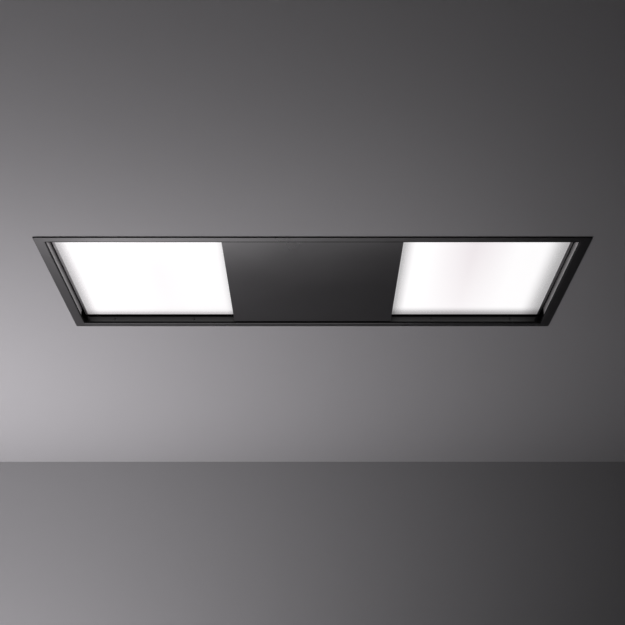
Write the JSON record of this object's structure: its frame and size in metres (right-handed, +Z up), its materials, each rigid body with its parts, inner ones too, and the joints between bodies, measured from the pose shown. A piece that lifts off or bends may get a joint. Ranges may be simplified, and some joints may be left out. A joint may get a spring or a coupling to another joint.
{
  "type": "ceiling range hood",
  "caption": "Flush ceiling range hood: black rim, lit opal panels left and right, drop-down centre door over grease filters, blower box above.",
  "frame": {"origin": "middle of the rim's upper face, which lies against the underside of the ceiling", "axes": "+X along the hood to the cook's right, +Y away from the cook, +Z up"},
  "size_m": [1.2, 0.6, 0.2992],
  "materials": {
    "black_paint": "satin black powder coat",
    "opal_glass": "opal white, lit from behind",
    "galvanised": "galvanised steel sheet",
    "stainless": "brushed stainless steel",
    "zinc_fixings": "bright zinc plate",
    "black_plastic": "black moulded plastic",
    "rubber": "black rubber",
    "led_white": "aluminium board, white coated",
    "aluminium": "plain aluminium",
    "magnet": "nickel plated magnet",
    "board_green": "circuit board",
    "driver_white": "white moulded plastic"
  },
  "bodies": {
    "hood_body": {"trim_frame": "black_paint", "liner_walls": "black_paint", "liner_deck": "black_paint", "trim_screws": "zinc_fixings", "deck_screws": "zinc_fixings", "hanger_brackets": "galvanised", "hinge_brackets": "black_paint", "hinge_pins": "zinc_fixings", "catch_brackets": "black_paint", "catch_magnets": "magnet", "filter_seat": "galvanised", "filter_hook_rail": "galvanised", "blower_box": "galvanised", "blower_box_lid": "galvanised", "lid_screws": "zinc_fixings", "blower_base_plate": "galvanised", "inlet_ring": "black_plastic", "volute_shell": "galvanised", "motor_body": "galvanised", "motor_bushes": "rubber", "outlet_adapter": "galvanised", "duct_spigot": "galvanised", "damper_pin": "zinc_fixings", "control_box": "galvanised", "control_box_lid": "galvanised", "control_board": "board_green", "cable_gland": "black_plastic", "led_drivers": "driver_white", "run_capacitor": "aluminium"},
    "centre_door": {"centre_door": "black_paint", "door_stiffeners": "galvanised", "door_strikes": "stainless", "door_hinge_bushes": "black_plastic"},
    "impeller": {"impeller": "black_plastic", "motor_shaft": "stainless"},
    "left_light": {"left_light_frame": "black_paint", "left_light_glass": "opal_glass", "left_light_seal": "rubber", "left_led_board": "led_white", "left_light_cover": "black_paint", "left_cover_screws": "zinc_fixings", "left_light_strikes": "stainless", "left_hinge_bushes": "black_plastic"},
    "left_filter": {"left_filter_frame": "stainless", "left_filter_baffles": "stainless", "left_filter_handle": "stainless"},
    "left_damper": {"left_damper_flap": "aluminium"},
    "right_light": {"right_light_frame": "black_paint", "right_light_glass": "opal_glass", "right_light_seal": "rubber", "right_led_board": "led_white", "right_light_cover": "black_paint", "right_cover_screws": "zinc_fixings", "right_light_strikes": "stainless", "right_hinge_bushes": "black_plastic"},
    "right_filter": {"right_filter_frame": "stainless", "right_filter_baffles": "stainless", "right_filter_handle": "stainless"},
    "right_damper": {"right_damper_flap": "aluminium"}
  },
  "joints": [
    {"name": "centre_door_hinge", "type": "hinge", "parent": "hood_body", "child": "centre_door", "pos_m": [0, 0.256, 0.008], "axis": [1, 0, 0], "range_deg": [0, 90]},
    {"name": "impeller_spin", "type": "hinge", "parent": "hood_body", "child": "impeller", "pos_m": [-0.098, -0.02, 0.18], "axis": [0, 0, 1], "continuous": true},
    {"name": "left_light_hinge", "type": "hinge", "parent": "hood_body", "child": "left_light", "pos_m": [-0.38575, 0.262, 0.0285], "axis": [1, 0, 0], "range_deg": [0, 85]},
    {"name": "left_filter_tilt", "type": "hinge", "parent": "hood_body", "child": "left_filter", "pos_m": [-0.0925, 0.17075, 0.08975], "axis": [1, 0, 0], "range_deg": [0, 10]},
    {"name": "left_flap_swing", "type": "hinge", "parent": "hood_body", "child": "left_damper", "pos_m": [0, 0.204, 0.2], "axis": [0, 0, -1], "range_deg": [0, 75], "stiffness_Nm_per_rad": 0.01, "springref_deg": -11.46},
    {"name": "right_light_hinge", "type": "hinge", "parent": "hood_body", "child": "right_light", "pos_m": [0.38575, 0.262, 0.0285], "axis": [1, 0, 0], "range_deg": [0, 85]},
    {"name": "right_filter_tilt", "type": "hinge", "parent": "hood_body", "child": "right_filter", "pos_m": [0.0925, 0.17075, 0.08975], "axis": [1, 0, 0], "range_deg": [0, 10]},
    {"name": "right_flap_swing", "type": "hinge", "parent": "hood_body", "child": "right_damper", "pos_m": [0, 0.204, 0.2], "axis": [0, 0, 1], "range_deg": [0, 75], "stiffness_Nm_per_rad": 0.01, "springref_deg": -11.46}
  ]
}
